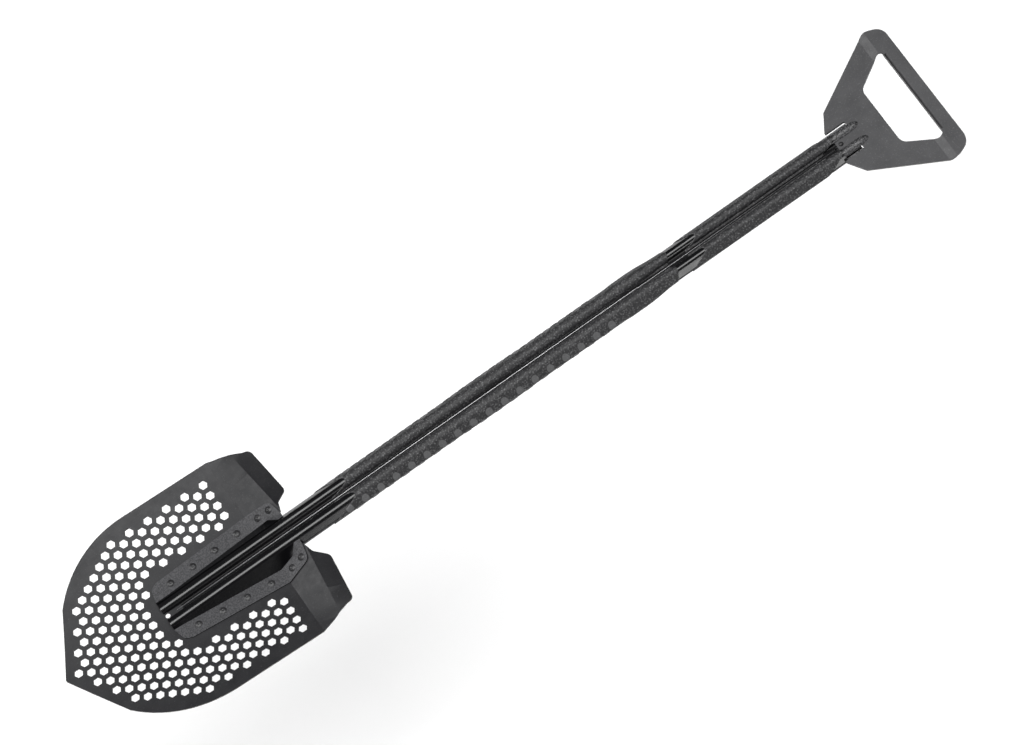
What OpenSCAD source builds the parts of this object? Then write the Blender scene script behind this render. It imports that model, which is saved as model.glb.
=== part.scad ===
// Camp shovel with a perforated dished blade, a two-lobed pressed shaft, two textured grips
// and a flat sheet D-handle. X runs from the blade's point to the handle, +Z is the front.

/* [Overall] */
// Length from the blade's point to the outer edge of the hand grip
overall_length = 991; // [900:1:1200]
// Width of the blade across its straight sides
blade_width = 212; // [176:1:255]

/* [Blade] */
// Length of the dished blade, from its point to the first shoulder bend
blade_length = 226; // [215:1:240]
// Thickness of the blade's sheet
blade_sheet = 2; // [1.5:0.1:3]
// Length of the straight bevels at the point
point_length = 34.6; // [25:0.2:42]
// Half the width of the blade where the bevels end
point_half = 62; // [50:1:75]
// Distance from the point to the start of the straight sides
side_start = 130; // [110:1:150]
// Radius of the dish across the blade
dish_radius = 440; // [350:5:600]
// Tilt of the blade against the shaft, its point towards the front
blade_tilt = 5.25; // [0:0.25:6]
// Height of the blade's point above the valley of the shaft
point_rise = 10.5; // [9:0.25:12]

/* [Sieve holes] */
// Width of a hexagonal hole across its flats
hole_flats = 8; // [6:0.1:9]
// Distance between neighbouring holes
hole_pitch = 12; // [12:0.1:13]
// Distance from the point to the first hole
hole_start = 13.7; // [12:0.1:20]
// Rows of holes along the blade
hole_rows = 20; // [10:1:20]
// Clear width between the socket's flange and the nearest hole centre
hole_margin = 8.5; // [8:0.1:14]
// Diameter of the drain hole at the socket's nose
drain_d = 5; // [3:0.5:6]

/* [Shoulders] */
// Distance from the first bend to the second bend, beside the shaft
facet_length = 32.5; // [28:0.5:36]
// Shift of the second bend towards the point, at the blade's outer edge
facet_sweep = 10.5; // [0:0.5:14]
// Height of the second bend above the valley of the shaft
crease_z = 3; // [2:0.25:4]
// Depth of a foot tread along the shaft, at its deepest
tread_depth = 15.5; // [12:0.5:20]
// Fall of a foot tread per millimetre, beside the shaft
tread_fall_inner = 0.75; // [0.3:0.05:0.9]
// Fall of a foot tread per millimetre, at its outer end
tread_fall_outer = 0.24; // [0.1:0.02:0.5]

/* [Socket] */
// Distance from the blade's point to the nose of the shaft
nose_x = 111; // [108:0.5:114]
// Sheet of the socket's side brackets
bracket_sheet = 1.3; // [1:0.1:1.6]
// Half the width across the flanges, at their lower end
flange_half_low = 33.5; // [31:0.5:34]
// Half the width across the flanges, at the first bend
flange_half_high = 41; // [38:0.5:44]
// Half the width across the socket's walls, at the nose
wall_half_low = 16.7; // [16.6:0.1:17.6]
// Half the width across the socket's walls, at the first bend
wall_half_high = 24.8; // [24:0.1:27]

/* [Shaft] */
// Distance of each front lobe's centre from the middle of the shaft
lobe_y = 8.95; // [8.5:0.05:9.5]
// Radius of each front lobe
lobe_r = 6; // [5.5:0.1:6.4]
// Depth of the lobes' centres below the nominal valley height
lobe_drop = 1.2; // [0.8:0.1:1.6]
// Depth of the valley's floor between the lobes, below its nominal height
valley_drop = 1.3; // [1:0.1:2]
// Distance of each side's round from the middle of the shaft
side_y = 14.4; // [13.5:0.1:15]
// Radius of the sides' rounds
side_r = 4.1; // [3.6:0.1:4.5]
// Depth of the sides' rounds below the valley
side_drop = 4.5; // [4:0.1:5]
// Distance of the back's rounds from the middle of the shaft
back_y = 9.5; // [8:0.5:11]
// Radius of the back's rounds
back_r = 5; // [4:0.5:6]
// Depth of the shaft's back below the valley
shaft_back = 12.6; // [12:0.2:15]
// Sheet of the two shafts
shaft_sheet = 1.3; // [1:0.1:1.4]
// Width of the seam along the valley
seam_w = 0.6; // [0.4:0.1:1]
// Length of the upper shaft inside the lower shaft
shaft_overlap = 70; // [40:1:90]
// Diameter of the cross pin that joins the two shafts
pin_d = 3; // [2.4:0.2:3]

/* [Grips] */
// Distance from the point to the lower grip, at the shaft's sides
lower_grip_start = 292.5; // [288:0.5:300]
// Distance from the point to the end of the lower shaft, under the grip's flare
lower_shaft_end = 655; // [600:1:680]
// Length of the lower grip's tapered end
grip_taper = 36; // [30:1:50]
// Length of bare shaft between the two grips, at the shaft's sides
neck_length = 17; // [10:1:30]
// Shift of the lower grip's first end, from the sides up to the lobes
lower_slant = 31.5; // [10:0.5:40]
// Shift of the upper grip's ends, from the sides up to the lobes
upper_slant = 24; // [10:0.5:30]
// Thickness of the grips
grip_sheet = 0.75; // [0.6:0.05:1.2]
// Extra thickness of the lower grip's swells
grip_swell = 0.55; // [0.3:0.05:1]
// Width of the slot in a grip along the valley
grip_slot = 3.4; // [2:0.1:3.6]
// Distance between neighbouring pads in a row on the lower grip's sides
pad_pitch = 17.8; // [16:0.2:24]
// Width of a six-sided pad across its corners
pad_width = 8.4; // [6:0.2:10]
// Height of a pad above the grip
pad_height = 0.35; // [0.2:0.05:0.6]

/* [Handle] */
// Length of the handle's sheet along the shaft
handle_length = 105; // [95:1:120]
// Width of the handle across the hand grip
handle_width = 163; // [140:1:180]
// Sheet of the handle
handle_sheet = 3; // [2:0.1:4]
// Height of the handle's front face above the valley
handle_z = 0.5; // [0:0.1:1]
// Height of the hand grip's front above the sheet's front
grip_rise = 4.5; // [2:0.25:6]
// Width of the hand grip
bar_width = 14.5; // [12:0.5:20]
// Depth of the hand grip's turned-back edges
bar_depth = 11; // [8:0.5:14]
// Half the width of the hand opening at the shaft's side
opening_half_low = 34; // [28:1:40]
// Half the width of the hand opening at the grip's side
opening_half_high = 58; // [50:1:62]
// Length of the hand opening along the shaft
opening_length = 37; // [32:1:45]
// Radius of the hand grip's rolled inner edge
roll_r = 3.5; // [2:0.5:4]
// Length of the slots beside the shaft's lobes
slot_length = 22; // [16:1:24]

/* [Rivets] */
// Diameter of the rivets' shanks
rivet_d = 4; // [3:0.2:4.4]
// Diameter of the rivets' heads
rivet_head_d = 7.2; // [6:0.1:7.6]
// Height of the rivets' heads
rivet_head_h = 1.1; // [0.8:0.1:1.6]
// Distance from the nose to the first rivet
rivet_start = 22; // [16:0.2:26]
// Distance between the flange rivets
rivet_pitch = 26; // [22:0.2:27]

/* [Hidden] */
$fn = 96;
fit_gap = 0.1;
slip_gap = 0.05;
tall = 200;
blade_half = blade_width / 2;
shaft_half = side_y + side_r;
upper_step = shaft_sheet + slip_gap;
grip_floor = shaft_back + grip_sheet - slip_gap;
flange_start = nose_x + 6;
bracket_end = blade_length + 30.5;
tube_start = blade_length + 10;
notch_half = shaft_half + 1.5;
row_pitch = hole_pitch * sqrt(3) / 2;
handle_start = overall_length - handle_length;
bar_start = overall_length - bar_width;
opening_start = bar_start - opening_length;
corner_r = 13.5;
handle_half = handle_width / 2;
tongue_start = handle_start + 2;
tongue_half = lobe_y + lobe_r - upper_step - shaft_sheet - 0.6;
slot_half = shaft_half - 1;
slot_corner = 2;
slot_end = handle_start + slot_length;
ridge_end = slot_end + 10.5;
lower_grip_end = lower_shaft_end + grip_taper;
upper_grip_start = lower_grip_end + neck_length;
upper_grip_end = handle_start - 20;
rivet_count = 4;
rivet_offset = 7.8;
pin_x = lower_shaft_end - 12;
pin_z = -side_drop - 1.2;
handle_rivet_x = handle_start + 6.5;

// ---- outlines ---------------------------------------------------------------

function unit(v) = v / norm(v);
function turn(a) = a > 180 ? a - 360 : a < -180 ? a + 360 : a;

// Points of one rounded corner at p, between its neighbours a and b
function corner(a, p, b, r, n = 8) =
    r == 0 ? [p] :
    let (u = unit(a - p), v = unit(b - p), half = acos(u * v) / 2,
        c = p + unit(u + v) * r / sin(half), s = p + u * r / tan(half) - c, e = p + v * r / tan(half) - c,
        a0 = atan2(s.y, s.x), da = turn(atan2(e.y, e.x) - a0))
    [for (k = [0:n]) c + r * [cos(a0 + da * k / n), sin(a0 + da * k / n)]];

// An outline given as [x, y, corner radius], rounded at its corners
function rounded(pts) = let (n = len(pts)) [for (i = [0:n - 1])
    let (a = pts[(i + n - 1) % n], p = pts[i], b = pts[(i + 1) % n])
    each corner([a.x, a.y], [p.x, p.y], [b.x, b.y], p.z)];

// The same outline mirrored across the X axis and joined to itself
function both_sides(half) = concat(half, [for (i = [len(half) - 1:-1:0]) [half[i].x, -half[i].y, half[i].z]]);

// ---- surfaces of the head ---------------------------------------------------

function blade_z(x, y) = point_rise - tan(blade_tilt) * x
    + (dish_radius - sqrt(dish_radius * dish_radius - y * y)) / cos(blade_tilt);
function across(y) = (abs(y) - notch_half) / (blade_half - notch_half);
function crease_x(y) = blade_length + facet_length - facet_sweep * across(y);
function facet_z(x, y) = let (z0 = blade_z(blade_length, y))
    z0 + (crease_z - z0) * (x - blade_length) / (crease_x(y) - blade_length);
function tread_fall(y) = tread_fall_inner + (tread_fall_outer - tread_fall_inner) * across(y);
function head_z(x, y) = x <= blade_length ? blade_z(x, y) : facet_z(x, y);

function between(x, x0, x1, v0, v1) = v0 + (v1 - v0) * (x - x0) / (x1 - x0);
function wall_half(x) = x <= blade_length ?
    between(max(x, flange_start), flange_start, blade_length, wall_half_low, wall_half_high) :
    between(x, blade_length, bracket_end, wall_half_high, notch_half + 0.8);
function flange_half(x) = x <= blade_length ?
    between(x, flange_start, blade_length, flange_half_low, flange_half_high) :
    between(x, blade_length, bracket_end, flange_half_high, flange_half_high - 5);

// Everything in front of the dished blade's face, moved out by gap
module before_blade(gap) {
    rise = dish_radius / cos(blade_tilt);
    translate([0, 0, point_rise + rise])
        rotate([0, 90 + blade_tilt, 0])
            rotate([0, 0, 90])
                cylinder(r = dish_radius - gap, h = 4 * (blade_length + gap), center = true, $fn = 360);
}

// A solid swept through closed rings of points
module swept(rings) {
    n = len(rings[0]);
    m = len(rings);
    points = [for (ring = rings) each ring];
    sides = [for (i = [0:m - 2], j = [0:n - 1]) let (a = i * n + j, b = i * n + (j + 1) % n)
        each [[a, b, a + n], [b, b + n, a + n]]];
    first = [[for (j = [n - 1:-1:0]) j]];
    last = [[for (j = [0:n - 1]) (m - 1) * n + j]];
    polyhedron(points = points, faces = concat(sides, first, last), convexity = 6);
}

// ---- blade ------------------------------------------------------------------

// Straight bevels from the point, an arc on each side, then straight parallel sides
module blade_outline() {
    steps = 14;
    drop = (pow(side_start - point_length, 2) / (blade_half - point_half) - blade_half - point_half) / 2;
    arc_r = blade_half + drop;
    first = atan2(point_half + drop, point_length - side_start);
    side = [for (k = [0:steps]) let (a = first + (90 - first) * k / steps)
        [side_start + arc_r * cos(a), arc_r * sin(a) - drop, 0]];
    polygon(rounded(both_sides(concat([[0, 0.7, 0]], side, [[blade_length, blade_half, 0]]))));
}

// Hole columns fan out from the point, then run parallel to the sides and clear the socket
function hole_here(i, j) = let (x = hole_start + i * row_pitch, y = abs(j) * hole_pitch / 2,
        edge = floor((blade_half - 10) / (hole_pitch / 2)) - 1)
    (i + j) % 2 == 0 && abs(j) <= min(3 * i, i + 6, edge)
    && (x < nose_x - 8 || y >= wall_half_low + hole_margin - 1)
    && (x < nose_x || y >= flange_half(max(x, flange_start)) + hole_margin);

module sieve_holes() {
    for (i = [0:hole_rows - 1], j = [-3 * hole_rows:3 * hole_rows])
        if (hole_here(i, j))
            translate([hole_start + i * row_pitch, j * hole_pitch / 2, -tall / 2])
                cylinder(r = hole_flats / sqrt(3), h = tall, $fn = 6);
}

// Facet and tread on the left side, one bent sheet; its root is a tongue let into the blade's edge
module shoulder_sheet() {
    stations = 12;
    reach = 26;
    root = blade_length - 3;
    inset = 0.15;
    t = blade_sheet;
    swept([for (k = [0:stations]) let (
            y = notch_half - 2 + (blade_half + 6 - notch_half) * k / stations,
            zr = blade_z(root, y), z0 = blade_z(blade_length, y), cx = crease_x(y),
            ex = cx + reach, ez = crease_z - tread_fall(y) * reach)
        [[root, y, zr - t + inset], [blade_length, y, z0 - t + inset], [cx, y, crease_z - t], [ex, y, ez - t],
        [ex, y, ez], [cx, y, crease_z], [blade_length, y, z0 - inset], [root, y, zr - inset]]]);
}

module shoulder_outline() {
    root = blade_length - 1.5;
    deep = blade_length + facet_length + tread_depth;
    polygon(rounded([[root, notch_half, 0], [crease_x(notch_half) - 1, notch_half + 0.5, 1],
        [blade_length + 34.5, notch_half + 11, 4], [deep - 1.5, notch_half + 21, 6],
        [blade_length + 40.5, blade_half - 13, 6], [blade_length + 33, blade_half - 11.5, 3], [blade_length + 15, blade_half - 4.3, 6],
        [blade_length, blade_half - 0.1, 0], [root, blade_half - 0.1, 0]]));
}

module blade() {
    color("#34353a")
        difference() {
            union() {
                intersection() {
                    translate([0, 0, -tall / 2])
                        linear_extrude(tall)
                            blade_outline();
                    difference() {
                        before_blade(-blade_sheet);
                        before_blade(0);
                    }
                }
                for (side = [0, 1])
                    mirror([0, side, 0])
                        intersection() {
                            shoulder_sheet();
                            translate([0, 0, -tall / 2])
                                linear_extrude(tall)
                                    shoulder_outline();
                        }
            }
            sieve_holes();
            translate([nose_x + 2.5, 0, -tall / 2])
                cylinder(d = drain_d, h = tall);
            for (side = [-1, 1])
                rivet_holes(side);
        }
}

// ---- shaft ------------------------------------------------------------------

// Each round of the shaft's outline as [y, z, radius], taken in by shrink
function lobe_round(shrink) = [lobe_y, -lobe_drop, lobe_r - shrink];
function side_round(shrink) = [side_y, -side_drop, side_r - shrink];
function back_round(shrink) = [back_y, back_r - shaft_back, back_r - shrink];

// Angle of the outward normal where a belt runs straight from round a on to round b
function belt_angle(a, b) = let (d = [b.x - a.x, b.y - a.y]) turn(atan2(d.y, d.x) + acos((a.z - b.z) / norm(d)));
function arc(c, from, to, n) = [for (k = [0:n]) let (a = from + (to - from) * k / n)
    [c.x, c.y] + c.z * [cos(a), sin(a)]];

// The shaft's outline: two front lobes, sloping sides and a narrower back
function shaft_points(shrink) = let (lobe = lobe_round(shrink), side = side_round(shrink),
        back = back_round(shrink), shoulder = belt_angle(lobe, side), flank = belt_angle(side, back),
        half = concat([[lobe.x - lobe.z, -valley_drop - shrink]], arc(lobe, 165, shoulder, 11),
            arc(side, shoulder, flank, 6), arc(back, flank, -90, 6)), n = len(half))
    concat(half, [for (i = [n - 1:-1:0]) [-half[i].x, half[i].y]]);

// Distance of the outline's side from the shaft's middle plane, at height z
function side_at(z) = side_y + sqrt(side_r * side_r - pow(z + side_drop, 2));

module along_x(x0, x1) {
    translate([x0, 0, 0])
        rotate([90, 0, 90])
            linear_extrude(x1 - x0)
                children();
}

module shaft_prism(x0, x1, shrink) {
    along_x(x0, x1)
        polygon(shaft_points(shrink));
}

module shaft_tube(x0, x1, shrink) {
    difference() {
        shaft_prism(x0, x1, shrink);
        shaft_prism(x0 - 1, x1 + 1, shrink + shaft_sheet);
        translate([x0 - 1, -seam_w / 2, -side_drop])
            cube([x1 - x0 + 2, seam_w, side_drop + 1]);
    }
}

// The two front lobes and the valley between them, where the shaft runs on over the blade
module nose_lobes() {
    intersection() {
        difference() {
            along_x(nose_x, tube_start + 1) {
                for (side = [-1, 1])
                    translate([side * lobe_y, -lobe_drop])
                        circle(r = lobe_r + slip_gap);
                translate([-lobe_y, -valley_drop - shaft_sheet])
                    square([2 * lobe_y, shaft_sheet]);
            }
            along_x(nose_x - 1, tube_start - 1)
                for (side = [-1, 1])
                    translate([side * lobe_y, -lobe_drop])
                        circle(r = lobe_r - shaft_sheet);
            translate([nose_x + 6, -seam_w / 2, -side_drop])
                cube([blade_length, seam_w, side_drop + 1]);
        }
        before_blade(fit_gap);
    }
}

module pin_hole() {
    translate([pin_x, 0, pin_z])
        rotate([90, 0, 0])
            cylinder(d = pin_d + 2 * slip_gap, h = tall, center = true);
}

module lower_shaft() {
    color("#141518")
        difference() {
            union() {
                nose_lobes();
                shaft_tube(tube_start, lower_shaft_end, 0);
            }
            pin_hole();
        }
}

module side_view() {
    rotate([90, 0, 0])
        linear_extrude(tall, center = true)
            children();
}

// Closed ends of the lobes, lying on the handle's sheet
module lobe_ends() {
    r = lobe_r - upper_step + 0.12;
    first = handle_start + 2;
    straight = 19;
    tip = ridge_end - first - straight;
    difference() {
        for (side = [-1, 1])
            translate([first, side * lobe_y, -lobe_drop])
                rotate([0, 90, 0])
                    rotate_extrude()
                        polygon(concat([[0, 0], [r, 0]], [for (k = [0:5])
                            [r * cos(15 * k), straight + tip * sin(15 * k)]], [[0, straight + tip]]));
        translate([handle_start, -tall / 2, handle_z - handle_sheet - tall])
            cube(tall);
    }
}

// Room for the handle's tongue inside the shaft, and for its full sheet past the slots
module sheet_room() {
    low = handle_z - handle_sheet - fit_gap;
    high = handle_sheet + 2 * fit_gap;
    translate([tongue_start - fit_gap, -tongue_half - fit_gap, low])
        cube([tall, 2 * (tongue_half + fit_gap), high]);
    translate([slot_end - slot_corner, -tall / 2, low])
        cube([tall, tall, high]);
}

// What is cut off the side walls where they pass down through the handle's slots
module wall_cuts() {
    inner = lobe_y + lobe_r - upper_step - 1;
    for (side = [0, 1])
        mirror([0, side, 0])
            translate([handle_start + 3, inner, handle_z - handle_sheet - fit_gap])
                cube([tall, tall, tall]);
}

module upper_shaft() {
    color("#17181b")
        difference() {
            union() {
                difference() {
                    shaft_tube(lower_shaft_end - shaft_overlap, slot_end - 0.3, upper_step);
                    wall_cuts();
                }
                lobe_ends();
            }
            pin_hole();
            sheet_room();
            translate([handle_rivet_x, 0, -side_drop - 1])
                cylinder(d = 3.2, h = side_drop + 1);
        }
}

module joint_pin() {
    half = side_at(pin_z - pin_d / 2) - 2 * slip_gap;
    color("#8a8c90")
        translate([pin_x, 0, pin_z])
            rotate([90, 0, 0])
                cylinder(d = pin_d, h = 2 * half, center = true);
}

// ---- socket -----------------------------------------------------------------

// Bracket on the left side: a wall down from the lobe and a flange on the blade
module bracket_sheet_left() {
    reach = lobe_r + 2.5 * fit_gap;
    t = bracket_sheet;
    contact = 44;
    top = [lobe_y, -lobe_drop] + reach * [cos(contact), sin(contact)];
    top_out = [lobe_y, -lobe_drop] + (reach + t) * [cos(contact), sin(contact)];
    mids = 8;
    low = [for (k = [0:mids]) nose_x - 3 + (blade_length + 3 - nose_x) * k / mids];
    high = [for (k = [1:4]) blade_length + (bracket_end + 2 - blade_length) * k / 4];
    swept([for (x = concat(low, high)) let (
            wh = wall_half(x), fh = flange_half(x) + 3, mid = (wh + fh) / 2,
            zw = head_z(x, wh) + fit_gap, zm = head_z(x, mid) + fit_gap, zf = head_z(x, fh) + fit_gap)
        [[x, top.x, top.y], [x, top_out.x, top_out.y], [x, wh, zw + t], [x, mid, zm + t],
        [x, fh, zf + t], [x, fh, zf], [x, mid, zm], [x, wh - t, zw]]]);
}

module flange_outline() {
    polygon(rounded([[nose_x, 1, 0], [nose_x, wall_half_low + 1, 0], [flange_start - 2.5, flange_half_low - 3, 5],
        [flange_start + 5, flange_half(flange_start + 5), 5],
        [blade_length, flange_half_high, 0], [bracket_end - 3.5, flange_half_high - 5, 7],
        [bracket_end, notch_half, 1], [bracket_end, 1, 0]]));
}

module socket_bracket(side) {
    difference() {
        intersection() {
            mirror([0, side > 0 ? 0 : 1, 0])
                bracket_sheet_left();
            mirror([0, side > 0 ? 0 : 1, 0])
                translate([0, 0, -tall / 2])
                    linear_extrude(tall)
                        flange_outline();
        }
        rivet_holes(side);
    }
}

module socket_bracket_left() {
    color("#26272b")
        socket_bracket(1);
}

module socket_bracket_right() {
    color("#26272b")
        socket_bracket(-1);
}

// ---- rivets -----------------------------------------------------------------

function flange_rivet_x() = [for (k = [0:rivet_count - 1]) nose_x + rivet_start + k * rivet_pitch];
function shoulder_rivet_x() = [for (k = [0:1]) blade_length + 10 + k * 12.8];
function rivet_y(x) = wall_half(x) + rivet_offset;

// Moves what follows onto the head's front at a rivet, with +Z along the sheet's normal
module at_rivet(x, side) {
    y = rivet_y(x);
    d = 0.5;
    slope_x = (head_z(x + d, y) - head_z(x - d, y)) / (2 * d);
    slope_y = (head_z(x, y + d) - head_z(x, y - d)) / (2 * d);
    translate([x, side * y, head_z(x, y)])
        rotate([side * atan(slope_y), -atan(slope_x), 0])
            children();
}

module rivet_holes(side) {
    for (x = concat(flange_rivet_x(), shoulder_rivet_x()))
        at_rivet(x, side)
            cylinder(d = rivet_d + 2 * slip_gap, h = 12, center = true);
}

// A low round head with its flat side at z = 0
module rivet_head(d, h) {
    r = (d * d / 4 + h * h) / (2 * h);
    intersection() {
        cylinder(d = d, h = h + 1);
        translate([0, 0, h - r])
            sphere(r = r);
    }
}

module rivets(xs, side) {
    seat = bracket_sheet + 2 * fit_gap + 0.1;
    under = blade_sheet + fit_gap + 0.1;
    dimple = 2;
    color("#1b1c1f")
        for (x = xs)
            at_rivet(x, side) {
                difference() {
                    union() {
                        translate([0, 0, seat])
                            rivet_head(rivet_head_d, rivet_head_h);
                        translate([0, 0, -under])
                            cylinder(d = rivet_d, h = under + seat + 0.2);
                    }
                    translate([0, 0, seat + rivet_head_h + dimple - 0.5])
                        sphere(r = dimple);
                }
                translate([0, 0, -under])
                    mirror([0, 0, 1])
                        rivet_head(rivet_head_d, rivet_head_h);
            }
}

module flange_rivets_left() {
    rivets(flange_rivet_x(), 1);
}

module flange_rivets_right() {
    rivets(flange_rivet_x(), -1);
}

module shoulder_rivets_left() {
    rivets(shoulder_rivet_x(), 1);
}

module shoulder_rivets_right() {
    rivets(shoulder_rivet_x(), -1);
}

// ---- grips ------------------------------------------------------------------

// Lower grip: stations along the shaft and how much of the swell each has
swell_start = lower_grip_start + 148;
swell_end = swell_start + 90;
flare_start = lower_shaft_end - 26;
swell_runs = [[lower_grip_start - 20, 0], [swell_start, 0], [swell_start + 10, 0.5], [swell_start + 24, 1],
    [swell_end - 24, 1], [swell_end - 10, 0.5], [swell_end, 0], [flare_start, 0], [flare_start + 7, 1],
    [lower_shaft_end - 2, 1]];

function section_at(x, shrink) = [for (p = shaft_points(shrink)) [x, p.x, p.y]];
function taper_at(k) = (1 - cos(180 * k)) / 2;

// The grip's full body; rise lifts its surface to the height of the pads
module lower_grip_body(rise) {
    full = -grip_sheet - grip_swell - rise;
    thin = upper_step - grip_sheet / 2;
    steps = 8;
    swept(concat([for (run = swell_runs) section_at(run[0], -grip_sheet - rise - grip_swell * run[1])],
        [for (k = [1:steps]) section_at(lower_shaft_end - 2 + (grip_taper + 2) * k / steps,
            full + (thin - full) * taper_at(k / steps))],
        [section_at(lower_grip_end + 10, thin)]));
}

// Side view of a grip: square below the sides' rounds, slanted from there up to the lobes
module slanted(x0, x1, slant0, slant1) {
    top = lobe_r - lobe_drop;
    rise = (top + 3 + side_drop) / (top + side_drop);
    polygon([[x0, -grip_floor], [x1, -grip_floor], [x1, -side_drop], [x1 + slant1 * rise, top + 3],
        [x0 + slant0 * rise, top + 3], [x0, -side_drop]]);
}

// Six-sided pads in two staggered rows on one side of the lower grip
module grip_pads(side) {
    first = lower_grip_start + 20;
    count = floor((flare_start - 8 - first) / pad_pitch - 0.5);
    heights = [0.8, -side_drop - 0.5];
    for (row = [0, 1], k = [0:count])
        translate([first + (k + row / 2) * pad_pitch, side * lobe_y, heights[row]])
            rotate([-90 * side, 0, 0])
                rotate([0, 0, 30])
                    cylinder(d = pad_width, h = shaft_half, $fn = 6);
}

module grip_valley(x0, x1) {
    translate([x0, -grip_slot / 2, -side_drop])
        cube([x1 - x0, grip_slot, side_drop + lobe_r]);
}

module lower_grip() {
    color("#3b3c40")
        difference() {
            intersection() {
                union() {
                    lower_grip_body(0);
                    intersection() {
                        lower_grip_body(pad_height);
                        union() {
                            grip_pads(-1);
                            grip_pads(1);
                        }
                    }
                }
                side_view()
                    slanted(lower_grip_start, lower_grip_end, lower_slant, 6);
            }
            shaft_prism(lower_grip_start - 30, lower_shaft_end + fit_gap, -slip_gap);
            shaft_prism(lower_shaft_end - 1, lower_grip_end + 20, upper_step - slip_gap);
            grip_valley(lower_grip_start - 30, lower_grip_end + 20);
        }
}

module upper_grip() {
    color("#3b3c40")
        difference() {
            intersection() {
                shaft_prism(upper_grip_start - 1, upper_grip_end + upper_slant + 1, upper_step - grip_sheet);
                side_view()
                    slanted(upper_grip_start, upper_grip_end, upper_slant, upper_slant);
            }
            shaft_prism(upper_grip_start - 2, upper_grip_end + upper_slant + 2, upper_step - slip_gap);
            grip_valley(upper_grip_start - 2, upper_grip_end + upper_slant + 2);
        }
}

// ---- handle -----------------------------------------------------------------

// The sheet from above, with a tongue that runs into the shaft and a slot for each of its side walls
module handle_outline() {
    polygon(rounded(both_sides([[tongue_start, tongue_half, 1], [slot_end, tongue_half, slot_corner],
        [slot_end, slot_half, slot_corner], [handle_start, slot_half, 0], [handle_start, shaft_half + 0.5, 0],
        [handle_start + 11, shaft_half * 2, 3], [overall_length - 19, handle_half - 0.3, corner_r],
        [overall_length, handle_half - 8, corner_r]])));
}

module handle_opening() {
    polygon(rounded(both_sides([[opening_start, opening_half_low, 10], [bar_start, opening_half_high, 5]])));
}

// What the rolled inner edge takes off the hand grip
module roll_cut() {
    top = handle_z + grip_rise;
    rotate([90, 0, 0])
        linear_extrude(2 * (opening_half_high - 9.5), center = true)
            translate([bar_start + roll_r, top - roll_r])
                polygon(concat([for (k = [0:8]) roll_r * [cos(90 + k * 11.25), sin(90 + k * 11.25)]],
                    [[-roll_r - 1, 0], [-roll_r - 1, roll_r + 1], [0, roll_r + 1]]));
}

// Side view of the handle's sheet: flat, one short ramp, then the grip with turned-back edges
module handle_side_view() {
    z1 = handle_z;
    z0 = z1 - handle_sheet;
    ramp = bar_start - 11;
    polygon([[handle_start - 6, z0], [ramp, z0], [ramp + 8, z0 + grip_rise],
        [bar_start, z0 + grip_rise], [bar_start + handle_sheet, z0 + grip_rise],
        [overall_length - handle_sheet, z0 + grip_rise], [overall_length, z0 + grip_rise],
        [overall_length, z1 + grip_rise], [ramp + 8, z1 + grip_rise], [ramp, z1], [handle_start - 6, z1]]);
}

// Turned-back edges of the hand grip, seen from its end
module bar_section() {
    top = handle_z + grip_rise;
    difference() {
        translate([bar_start, top - bar_depth])
            square([bar_width, bar_depth]);
        translate([bar_start + handle_sheet, top - bar_depth - 1])
            square([bar_width - 2 * handle_sheet, bar_depth + 1 - handle_sheet]);
    }
}

module handle_plate() {
    color("#3a3b3f")
        difference() {
            intersection() {
                union() {
                    side_view()
                        handle_side_view();
                    rotate([90, 0, 0])
                        linear_extrude(2 * (opening_half_high - 4), center = true)
                            bar_section();
                }
                translate([0, 0, -tall / 2])
                    linear_extrude(tall)
                        handle_outline();
            }
            translate([0, 0, -tall / 2])
                linear_extrude(tall)
                    handle_opening();
            roll_cut();
            translate([handle_rivet_x, 0, 0])
                cylinder(d = 3.2, h = tall, center = true);
        }
}

module handle_rivet() {
    low = -valley_drop - upper_step - shaft_sheet - slip_gap;
    color("#1b1c1f")
        translate([handle_rivet_x, 0, 0]) {
            translate([0, 0, handle_z + slip_gap])
                rivet_head(4.8, 1.6);
            translate([0, 0, low - 0.5])
                cylinder(d = 3, h = handle_z + 1 - low);
            translate([0, 0, low])
                mirror([0, 0, 1])
                    rivet_head(4.8, 1.2);
        }
}

// The frame's origin is under the middle of the shovel, on the surface it lies on
module placed() {
    translate([-overall_length / 2, 0, grip_floor])
        children();
}

placed() blade();
placed() lower_shaft();
placed() upper_shaft();
placed() socket_bracket_left();
placed() socket_bracket_right();
placed() flange_rivets_left();
placed() flange_rivets_right();
placed() shoulder_rivets_left();
placed() shoulder_rivets_right();
placed() joint_pin();
placed() lower_grip();
placed() upper_grip();
placed() handle_plate();
placed() handle_rivet();
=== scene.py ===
"""Looks of the camp shovel: materials, fine pieces, pale studio, camera. Metres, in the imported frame."""
import math

import bmesh
import bpy
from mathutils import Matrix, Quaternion, Vector


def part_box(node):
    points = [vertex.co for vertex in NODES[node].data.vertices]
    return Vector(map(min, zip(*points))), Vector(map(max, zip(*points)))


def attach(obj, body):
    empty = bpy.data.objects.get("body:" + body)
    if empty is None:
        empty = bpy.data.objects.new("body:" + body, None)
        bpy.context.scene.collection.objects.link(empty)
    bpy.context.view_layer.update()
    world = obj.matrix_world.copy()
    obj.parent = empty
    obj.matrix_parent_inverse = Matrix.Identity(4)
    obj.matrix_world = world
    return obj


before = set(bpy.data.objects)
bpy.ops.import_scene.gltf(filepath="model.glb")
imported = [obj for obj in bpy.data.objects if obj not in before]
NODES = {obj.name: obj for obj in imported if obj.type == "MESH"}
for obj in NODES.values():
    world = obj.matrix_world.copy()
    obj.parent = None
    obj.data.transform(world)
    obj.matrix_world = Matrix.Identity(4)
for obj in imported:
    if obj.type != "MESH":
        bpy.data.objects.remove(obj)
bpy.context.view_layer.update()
MM = 0.001

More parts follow.
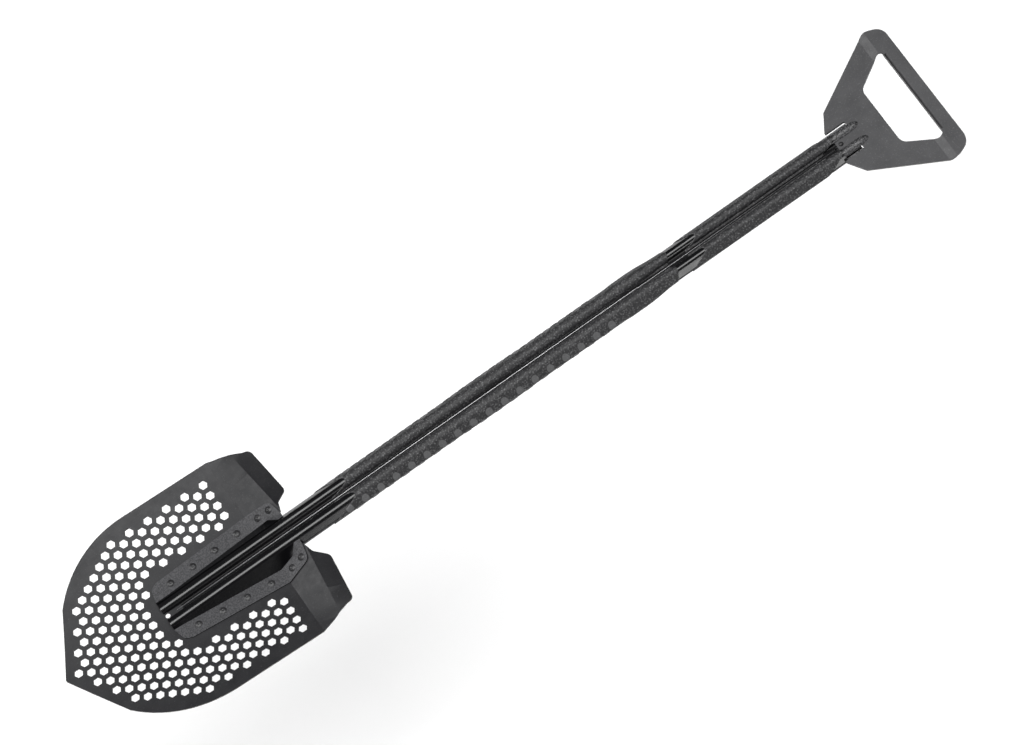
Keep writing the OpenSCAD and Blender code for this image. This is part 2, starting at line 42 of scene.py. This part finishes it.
# Facets meeting at less than SMOOTH_ANGLE shade as one surface; edges sharper than EDGE_ANGLE are rounded
SMOOTH_ANGLE = math.radians(28)
EDGE_ANGLE = math.radians(40)
WELD_DISTANCE = 0.005 * MM

# The shaft: height of the lobes above the valley, and step down from the lower shaft to the upper
LOBE_TOP = 6.15 * MM
SHAFT_STEP = 1.35 * MM

# The seam bead, a pale strip that paints the seam's highlight: its distance from the shaft's two ends, half
# its size, its sides, half the run of its step
SEAM_START = 8 * MM
SEAM_END = 33 * MM
SEAM_HALF_WIDTH = 0.5 * MM
SEAM_HALF_HEIGHT = 0.45 * MM
SEAM_SIDES = 10
SEAM_STEP_HALF = 2 * MM

# Grain of the powder coat, and the run over which the enamel turns coarse at the handle's root
GRAIN_DEPTH = 0.05 * MM
ROOT_BLEND = 6 * MM

# Round light spots over the six-sided pads, in two staggered rows on the lower grip's sides
PAD_START = 20 * MM
PAD_PITCH = 17.8 * MM
PAD_RADIUS = 3.7 * MM
PAD_HEIGHTS = (0.8 * MM, -5.0 * MM)
PAD_INNER = 13.6 * MM
PAD_END = 30 * MM
PAD_STRENGTH = 0.75
PAD_TINT = 0.6

# The rolled inner edge of the hand grip, where shade is painted, measured back from the handle's far edge
HEM_SHADE_START = 15.4 * MM
HEM_SHADE_END = 10.8 * MM
HEM_SHADE_HALF = 56 * MM

# ---- camera -----------------------------------------------------------------
CAMERA_AZIMUTH = -5.93
CAMERA_ELEVATION = 66.18
CAMERA_ROLL = -29.57
CAMERA_DISTANCE = 6.783
CAMERA_LENS = 253.5
AIM = Vector((0.0138, 0.0039, 0.0134))

# ---- studio -----------------------------------------------------------------
FLOOR_DROP = 0.45
FLOOR_SIZE = 30.0
AMBIENT = 0.05

# Each light's name, place, size, radiance and the point that it faces: a long box above the shovel, a low box
# at its right and a key past the blade
LIGHTS = [("overhead", (0.0, -0.28, 3.0), (3.8, 1.6), 7.0, (0.0, -0.28, 0.0)),
          ("side", (0.77, -3.2, 0.78), (1.72, 0.55), 8.0, (0.77, 0.0, 0.0)),
          ("key", (-2.5, 1.7, 2.6), (1.9, 1.5), 9.0, (0.0, 0.0, 0.0))]


def make_camera():
    """A long lens far away, looking down on the shovel's front from its right side, rolled."""
    azimuth = math.radians(CAMERA_AZIMUTH)
    elevation = math.radians(CAMERA_ELEVATION)
    back = Vector((math.sin(azimuth) * math.cos(elevation),
                   -math.cos(azimuth) * math.cos(elevation),
                   math.sin(elevation)))
    data = bpy.data.cameras.new("camera")
    data.lens = CAMERA_LENS
    data.sensor_width = 36.0
    data.clip_end = 60.0
    camera = bpy.data.objects.new("camera", data)
    bpy.context.scene.collection.objects.link(camera)
    camera.location = AIM + back * CAMERA_DISTANCE
    camera.rotation_mode = "QUATERNION"
    roll = Quaternion((0, 0, 1), math.radians(CAMERA_ROLL))
    camera.rotation_quaternion = (-back).to_track_quat("-Z", "Y") @ roll
    bpy.context.scene.camera = camera


# ---- node helpers -----------------------------------------------------------


def new_material(name):
    """An empty node material and its shader."""
    mat = bpy.data.materials.new(name)
    mat.use_nodes = True
    tree = mat.node_tree
    tree.nodes.clear()
    out = tree.nodes.new("ShaderNodeOutputMaterial")
    shader = tree.nodes.new("ShaderNodeBsdfPrincipled")
    tree.links.new(shader.outputs["BSDF"], out.inputs["Surface"])
    return mat, tree, shader


def noise(tree, scale, detail=3.0, rough=0.6, stretch=(1, 1, 1)):
    """Noise in the object's own coordinates, its scale in cells per metre."""
    coords = tree.nodes.new("ShaderNodeTexCoord")
    mapping = tree.nodes.new("ShaderNodeMapping")
    mapping.inputs["Scale"].default_value = stretch
    tex = tree.nodes.new("ShaderNodeTexNoise")
    tex.inputs["Scale"].default_value = scale
    tex.inputs["Detail"].default_value = detail
    tex.inputs["Roughness"].default_value = rough
    tree.links.new(coords.outputs["Object"], mapping.inputs["Vector"])
    tree.links.new(mapping.outputs["Vector"], tex.inputs["Vector"])
    return tex.outputs["Fac"]


def ramp(tree, source, stops):
    """Maps a value through colour stops, each (position, colour or grey)."""
    node = tree.nodes.new("ShaderNodeValToRGB")
    elements = node.color_ramp.elements
    while len(elements) < len(stops):
        elements.new(0.5)
    for element, (position, colour) in zip(elements, stops):
        element.position = position
        element.color = (colour, colour, colour, 1) if isinstance(colour, (int, float)) else (*colour, 1)
    tree.links.new(source, node.inputs["Fac"])
    return node.outputs["Color"]


def mixed(tree, factor, a, b):
    """Blends two colours; each is a socket or an (r, g, b)."""
    node = tree.nodes.new("ShaderNodeMix")
    node.data_type = "RGBA"
    for value, socket in ((factor, node.inputs[0]), (a, node.inputs[6]), (b, node.inputs[7])):
        if isinstance(value, bpy.types.NodeSocket):
            tree.links.new(value, socket)
        elif isinstance(value, (int, float)):
            socket.default_value = value
        else:
            socket.default_value = (*value, 1)
    return node.outputs[2]


def bumped(tree, shader, height, strength, depth, before=None):
    """Adds a bump, its depth in metres, after any bump made before it."""
    node = tree.nodes.new("ShaderNodeBump")
    node.inputs["Strength"].default_value = strength
    node.inputs["Distance"].default_value = depth
    tree.links.new(height, node.inputs["Height"])
    if before is not None:
        tree.links.new(before, node.inputs["Normal"])
    tree.links.new(node.outputs["Normal"], shader.inputs["Normal"])
    return node.outputs["Normal"]


def steepness(tree, low, high):
    """0 on faces that look straight up or down, 1 on walls."""
    geometry = tree.nodes.new("ShaderNodeNewGeometry")
    split = tree.nodes.new("ShaderNodeSeparateXYZ")
    flat = tree.nodes.new("ShaderNodeMath")
    flat.operation = "ABSOLUTE"
    steep = tree.nodes.new("ShaderNodeMapRange")
    steep.inputs["From Min"].default_value = high
    steep.inputs["From Max"].default_value = low
    tree.links.new(geometry.outputs["True Normal"], split.inputs["Vector"])
    tree.links.new(split.outputs["Z"], flat.inputs[0])
    tree.links.new(flat.outputs["Value"], steep.inputs["Value"])
    return steep.outputs["Result"]


def calc(tree, operation, a, b=0.0):
    """One Math node; each operand is a socket or a number, and a function of one value leaves out b."""
    node = tree.nodes.new("ShaderNodeMath")
    node.operation = operation
    for value, socket in ((a, node.inputs[0]), (b, node.inputs[1])):
        if isinstance(value, bpy.types.NodeSocket):
            tree.links.new(value, socket)
        else:
            socket.default_value = value
    return node.outputs["Value"]


def position(tree):
    """The X, Y and Z sockets of the object's own coordinates."""
    coords = tree.nodes.new("ShaderNodeTexCoord")
    split = tree.nodes.new("ShaderNodeSeparateXYZ")
    tree.links.new(coords.outputs["Object"], split.inputs["Vector"])
    return split.outputs["X"], split.outputs["Y"], split.outputs["Z"]


# ---- materials --------------------------------------------------------------


def powder_coat(name, colour, lighter, roughness, specular):
    """Satin powder coat: orange-peel grain, faint clouds and small scuffs."""
    mat, tree, shader = new_material(name)
    shader.inputs["Specular IOR Level"].default_value = specular
    clouds = ramp(tree, noise(tree, 38, 4), [(0.3, 0.0), (0.75, 1.0)])
    scuffs = ramp(tree, noise(tree, 700, 3, 0.75), [(0.58, 0.0), (0.72, 1.0)])
    base = mixed(tree, clouds, colour, [0.7 * a + 0.3 * b for a, b in zip(colour, lighter)])
    tree.links.new(mixed(tree, scuffs, base, lighter), shader.inputs["Base Color"])
    rough = ramp(tree, noise(tree, 120, 3), [(0.3, roughness - 0.05), (0.7, roughness + 0.07)])
    tree.links.new(rough, shader.inputs["Roughness"])
    peel = bumped(tree, shader, noise(tree, 900, 3), 0.8, GRAIN_DEPTH)
    bumped(tree, shader, noise(tree, 160, 2), 0.3, 0.06 * MM, peel)
    return mat


def paint_hem_shade(mat, start, end, half):
    """Paints shade on the rolled inner edge of the hand grip: its steep faces between start and end along X
    turn near black.
    """
    tree = mat.node_tree
    shader = next(n for n in tree.nodes if n.type == "BSDF_PRINCIPLED")
    x, y, _ = position(tree)
    inside = calc(tree, "MULTIPLY", calc(tree, "GREATER_THAN", x, start), calc(tree, "LESS_THAN", x, end))
    inside = calc(tree, "MULTIPLY", inside, calc(tree, "LESS_THAN", calc(tree, "ABSOLUTE", y), half))
    hem_shade = calc(tree, "MULTIPLY", inside, steepness(tree, 0.93, 0.97))
    colour = shader.inputs["Base Color"].links[0].from_socket
    # painted shade: the hem's steep faces turn near black
    tree.links.new(mixed(tree, hem_shade, colour, (0.004, 0.004, 0.005)), shader.inputs["Base Color"])


def along_x(tree, start, end):
    """0 before start and 1 after end, measured along the shovel in metres."""
    step = tree.nodes.new("ShaderNodeMapRange")
    step.inputs["From Min"].default_value = start
    step.inputs["From Max"].default_value = end
    tree.links.new(position(tree)[0], step.inputs["Value"])
    return step.outputs["Result"]


def gloss_enamel(name, textured_from):
    """Deep gloss black enamel with a slight waviness, sprayed coarser at the handle's root."""
    mat, tree, shader = new_material(name)
    root = along_x(tree, textured_from, textured_from + ROOT_BLEND)
    tint = ramp(tree, noise(tree, 60, 3), [(0.3, (0.0025, 0.0025, 0.003)), (0.7, (0.0045, 0.0045, 0.005))])
    speckle = ramp(tree, noise(tree, 700, 3, 0.7), [(0.45, (0.012, 0.012, 0.013)), (0.6, (0.1, 0.1, 0.104))])
    tree.links.new(mixed(tree, root, tint, speckle), shader.inputs["Base Color"])
    rough = ramp(tree, noise(tree, 220, 4, 0.6, (0.3, 1, 1)), [(0.3, 0.17), (0.75, 0.25)])
    tree.links.new(mixed(tree, root, rough, (0.42, 0.42, 0.42)), shader.inputs["Roughness"])
    wavy = bumped(tree, shader, noise(tree, 90, 2, 0.5, (0.3, 1, 1)), 0.2, 0.04 * MM)
    grains = mixed(tree, root, (0.5, 0.5, 0.5), ramp(tree, noise(tree, 800, 3), [(0.35, 0.0), (0.65, 1.0)]))
    bumped(tree, shader, grains, 0.7, 0.15 * MM, wavy)
    return mat


def socket_coat(name, flange, wall):
    """Satin on the flanges that lie on the blade, gloss black on the walls up to the shaft."""
    mat, tree, shader = new_material(name)
    shader.inputs["Specular IOR Level"].default_value = 0.14
    wallness = steepness(tree, 0.86, 0.9)
    speckle = ramp(tree, noise(tree, 700, 3), [(0.4, flange), (0.62, [1.9 * c for c in flange])])
    tree.links.new(mixed(tree, wallness, speckle, wall), shader.inputs["Base Color"])
    rough = ramp(tree, wallness, [(0.0, 0.48), (1.0, 0.22)])
    tree.links.new(rough, shader.inputs["Roughness"])
    bumped(tree, shader, noise(tree, 900, 3), 0.7, GRAIN_DEPTH)
    return mat


def pad_mask(tree):
    """1 on a round spot over each pad of the lower grip; the rows run a spot and a half past the last pad."""
    x, y, z = position(tree)
    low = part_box("lower_grip")[0]
    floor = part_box("lower_shaft")[1].z - LOBE_TOP
    outside = calc(tree, "GREATER_THAN", calc(tree, "ABSOLUTE", y), PAD_INNER)
    before_flare = calc(tree, "LESS_THAN", x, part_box("lower_shaft")[1].x - PAD_END)
    rows = None
    for shift, height in ((0.0, PAD_HEIGHTS[0]), (0.5, PAD_HEIGHTS[1])):
        turns = calc(tree, "DIVIDE", calc(tree, "SUBTRACT", x, low.x + PAD_START), PAD_PITCH)
        phase = calc(tree, "FRACT", calc(tree, "SUBTRACT", turns, shift - 0.5))
        along = calc(tree, "MULTIPLY", calc(tree, "SUBTRACT", phase, 0.5), PAD_PITCH)
        across = calc(tree, "SUBTRACT", z, floor + height)
        reach = calc(tree, "SQRT", calc(tree, "ADD", calc(tree, "MULTIPLY", along, along),
                                        calc(tree, "MULTIPLY", across, across)))
        spot = calc(tree, "LESS_THAN", reach, PAD_RADIUS)
        rows = spot if rows is None else calc(tree, "MAXIMUM", rows, spot)
    after_start = calc(tree, "GREATER_THAN", x, low.x + PAD_START - PAD_RADIUS)
    return calc(tree, "MULTIPLY", calc(tree, "MULTIPLY", rows, outside),
                calc(tree, "MULTIPLY", before_flare, after_start))


def grip_coat(name, dark, light, pads):
    """Coarse sprayed texture: close bumps with painted highlight on their tops and painted shade between them
    and, where pads is true, the pads' spots.
    """
    mat, tree, shader = new_material(name)
    shader.inputs["Specular IOR Level"].default_value = 0.4
    coords = tree.nodes.new("ShaderNodeTexCoord")
    cells = tree.nodes.new("ShaderNodeTexVoronoi")
    cells.inputs["Scale"].default_value = 560
    tree.links.new(coords.outputs["Object"], cells.inputs["Vector"])
    tops = ramp(tree, cells.outputs["Distance"], [(0.1, 1.0), (0.62, 0.0)])
    patches = ramp(tree, noise(tree, 480, 4, 0.75), [(0.42, 0.0), (0.66, 1.0)])
    speckle = mixed(tree, patches, dark, light)
    # painted light: bump tops take the lighter speckle, the gaps between bumps stay dark as painted shade
    coat = mixed(tree, tops, dark, speckle)
    if pads:
        spots = calc(tree, "MULTIPLY", pad_mask(tree), PAD_STRENGTH)
        coat = mixed(tree, spots, coat, [PAD_TINT * c for c in light])
    tree.links.new(coat, shader.inputs["Base Color"])
    rough = ramp(tree, patches, [(0.0, 0.6), (1.0, 0.45)])
    tree.links.new(rough, shader.inputs["Roughness"])
    first = bumped(tree, shader, tops, 0.9, 0.22 * MM)
    bumped(tree, shader, noise(tree, 1500, 3), 0.6, 0.08 * MM, first)
    return mat


def steel_and_seam_highlight(name, colour, roughness):
    """Brushed pale metal: steel for the hidden pin, and on the seam a painted highlight."""
    mat, tree, shader = new_material(name)
    shader.inputs["Metallic"].default_value = 1.0
    tint = ramp(tree, noise(tree, 300, 3, 0.6, (0.1, 1, 1)),
                [(0.3, [0.85 * c for c in colour]), (0.7, colour)])
    tree.links.new(tint, shader.inputs["Base Color"])
    rough = ramp(tree, noise(tree, 500, 2), [(0.3, roughness - 0.06), (0.7, roughness + 0.06)])
    tree.links.new(rough, shader.inputs["Roughness"])
    return mat


def floor_paint():
    """Plain matt white."""
    mat, tree, shader = new_material("floor")
    tint = ramp(tree, noise(tree, 3, 2), [(0.2, 0.94), (0.8, 0.96)])
    tree.links.new(tint, shader.inputs["Base Color"])
    shader.inputs["Roughness"].default_value = 0.9
    shader.inputs["Specular IOR Level"].default_value = 0.1
    return mat


def smoothing():
    """A modifier group that shades the CAD facets smooth below SMOOTH_ANGLE and keeps sharper edges crisp."""
    group = bpy.data.node_groups.new("smooth_facets", "GeometryNodeTree")
    group.interface.new_socket("Geometry", in_out="INPUT", socket_type="NodeSocketGeometry")
    group.interface.new_socket("Geometry", in_out="OUTPUT", socket_type="NodeSocketGeometry")
    source = group.nodes.new("NodeGroupInput")
    result = group.nodes.new("NodeGroupOutput")
    weld = group.nodes.new("GeometryNodeMergeByDistance")
    weld.inputs["Distance"].default_value = WELD_DISTANCE
    plain = group.nodes.new("GeometryNodeRemoveAttribute")
    plain.inputs["Name"].default_value = "custom_normal"
    angle = group.nodes.new("GeometryNodeInputMeshEdgeAngle")
    small = group.nodes.new("FunctionNodeCompare")
    small.data_type = "FLOAT"
    small.operation = "LESS_THAN"
    small.inputs["B"].default_value = SMOOTH_ANGLE
    faces = group.nodes.new("GeometryNodeSetShadeSmooth")
    faces.domain = "FACE"
    edges = group.nodes.new("GeometryNodeSetShadeSmooth")
    edges.domain = "EDGE"
    link = group.links.new
    link(source.outputs["Geometry"], plain.inputs["Geometry"])
    link(plain.outputs["Geometry"], weld.inputs["Geometry"])
    link(weld.outputs["Geometry"], faces.inputs["Geometry"])
    link(faces.outputs["Geometry"], edges.inputs["Geometry"])
    link(angle.outputs["Unsigned Angle"], small.inputs["A"])
    link(small.outputs["Result"], edges.inputs["Shade Smooth"])
    link(edges.outputs["Geometry"], result.inputs["Geometry"])
    return group


def dress(names, material, bevel=None):
    """Gives CAD nodes a material, smooth facets and, where asked, small rounded edges."""
    for name in names:
        obj = NODES[name]
        for slot in obj.material_slots:
            slot.material = material
        if not obj.material_slots:
            obj.data.materials.append(material)
        smooth = obj.modifiers.new("smooth", "NODES")
        smooth.node_group = SMOOTHING
        if bevel:
            mod = obj.modifiers.new("edges", "BEVEL")
            mod.width = bevel
            mod.segments = 2
            mod.limit_method = "ANGLE"
            mod.angle_limit = EDGE_ANGLE
        even = obj.modifiers.new("even_normals", "WEIGHTED_NORMAL")
        even.mode = "FACE_AREA_WITH_ANGLE"
        even.keep_sharp = True


# ---- fine pieces ------------------------------------------------------------


def new_piece(name, bm, material):
    """Turns a bmesh into a smooth-shaded piece that rides on the shovel."""
    mesh = bpy.data.meshes.new(name)
    bmesh.ops.recalc_face_normals(bm, faces=bm.faces)
    bm.to_mesh(mesh)
    bm.free()
    mesh.polygons.foreach_set("use_smooth", [True] * len(mesh.polygons))
    obj = bpy.data.objects.new(name, mesh)
    bpy.context.scene.collection.objects.link(obj)
    obj.data.materials.append(material)
    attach(obj, "root")


def swept(rings):
    """A closed solid through rings of points, capped at both ends."""
    bm = bmesh.new()
    made = [[bm.verts.new(p) for p in ring] for ring in rings]
    for a, b in zip(made, made[1:]):
        for i in range(len(a)):
            j = (i + 1) % len(a)
            bm.faces.new((a[i], a[j], b[j], b[i]))
    bm.faces.new(made[0][::-1])
    bm.faces.new(made[-1])
    return bm


def seam_highlight_bead(material):
    """The closed seam along the shaft's valley: a fine pale bead, a painted highlight, a little lower on the
    upper shaft.
    """
    low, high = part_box("lower_shaft")[0].x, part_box("upper_shaft")[1].x
    step_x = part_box("lower_shaft")[1].x
    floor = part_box("lower_shaft")[1].z - LOBE_TOP
    turns = [2 * math.pi * k / SEAM_SIDES for k in range(SEAM_SIDES)]
    stations = [(low + SEAM_START, floor), (step_x - SEAM_STEP_HALF, floor),
                (step_x + SEAM_STEP_HALF, floor - SHAFT_STEP), (high - SEAM_END, floor - SHAFT_STEP)]
    rings = []
    for x, z in stations:
        rings.append([(x, SEAM_HALF_WIDTH * math.cos(a), z + SEAM_HALF_HEIGHT * math.sin(a)) for a in turns])
    new_piece("valley_seam_highlight", swept(rings), material)


# ---- studio -----------------------------------------------------------------


def softbox(name, place, size, radiance, aim):
    """A rectangular white light whose face is as bright as radiance times white."""
    data = bpy.data.lights.new(name, "AREA")
    data.shape = "RECTANGLE"
    data.size, data.size_y = size
    data.energy = radiance * math.pi * size[0] * size[1]
    obj = bpy.data.objects.new(name, data)
    bpy.context.scene.collection.objects.link(obj)
    obj.location = place
    obj.rotation_mode = "QUATERNION"
    obj.rotation_quaternion = (Vector(aim) - Vector(place)).to_track_quat("-Z", "Y")


def make_studio():
    """Pale floor well below the shovel, the lights, and a dim world that the camera sees as white."""
    mesh = bpy.data.meshes.new("floor")
    half = FLOOR_SIZE / 2
    corners = [(-half, -half, 0), (half, -half, 0), (half, half, 0), (-half, half, 0)]
    mesh.from_pydata(corners, [], [(0, 1, 2, 3)])
    floor = bpy.data.objects.new("floor", mesh)
    floor.location.z = -FLOOR_DROP
    bpy.context.scene.collection.objects.link(floor)
    floor.data.materials.append(floor_paint())
    for light in LIGHTS:
        softbox(*light)
    world = bpy.data.worlds.new("studio")
    bpy.context.scene.world = world
    world.use_nodes = True
    tree = world.node_tree
    tree.nodes.clear()
    out = tree.nodes.new("ShaderNodeOutputWorld")
    dim = tree.nodes.new("ShaderNodeBackground")
    pale = tree.nodes.new("ShaderNodeBackground")
    choose = tree.nodes.new("ShaderNodeMixShader")
    path = tree.nodes.new("ShaderNodeLightPath")
    dim.inputs["Color"].default_value = (AMBIENT, AMBIENT, AMBIENT, 1)
    pale.inputs["Color"].default_value = (1, 1, 1, 1)
    tree.links.new(path.outputs["Is Camera Ray"], choose.inputs["Fac"])
    tree.links.new(dim.outputs["Background"], choose.inputs[1])
    tree.links.new(pale.outputs["Background"], choose.inputs[2])
    tree.links.new(choose.outputs["Shader"], out.inputs["Surface"])


# ---- the shovel -------------------------------------------------------------

bpy.context.scene.view_settings.view_transform = "Standard"
make_camera()
make_studio()

SMOOTHING = smoothing()
HANDLE_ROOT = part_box("handle_plate")[0].x
HANDLE_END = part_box("handle_plate")[1].x

blade_coat = powder_coat("blade_coat", (0.011, 0.011, 0.0125), (0.035, 0.035, 0.037), 0.48, 0.3)
handle_coat = powder_coat("handle_coat", (0.04, 0.04, 0.042), (0.1, 0.1, 0.104), 0.45, 0.35)
rivet_coat = powder_coat("rivet_coat", (0.012, 0.012, 0.013), (0.05, 0.05, 0.052), 0.38, 0.4)
enamel = gloss_enamel("shaft_enamel", HANDLE_ROOT)
socket = socket_coat("socket_coat", (0.036, 0.036, 0.038), (0.0022, 0.0022, 0.0026))
lower_coat = grip_coat("lower_grip_coat", (0.013, 0.013, 0.014), (0.16, 0.16, 0.164), True)
upper_coat = grip_coat("upper_grip_coat", (0.013, 0.013, 0.014), (0.16, 0.16, 0.164), False)
# the seam bead's pale metal is a painted highlight along the valley
seam = steel_and_seam_highlight("seam_painted_highlight", (0.5, 0.5, 0.51), 0.45)
steel = steel_and_seam_highlight("pin_steel", (0.5, 0.5, 0.51), 0.35)
# painted shade on the hand grip's rolled inner edge
paint_hem_shade(handle_coat, HANDLE_END - HEM_SHADE_START, HANDLE_END - HEM_SHADE_END, HEM_SHADE_HALF)

dress(["blade"], blade_coat, 0.25 * MM)
dress(["handle_plate"], handle_coat, 0.6 * MM)
dress(["lower_shaft", "upper_shaft"], enamel)
dress(["socket_bracket_left", "socket_bracket_right"], socket)
dress(["lower_grip"], lower_coat)
dress(["upper_grip"], upper_coat)
dress(["flange_rivets_left", "flange_rivets_right", "shoulder_rivets_left", "shoulder_rivets_right",
       "handle_rivet"], rivet_coat)
dress(["joint_pin"], steel)

seam_highlight_bead(seam)
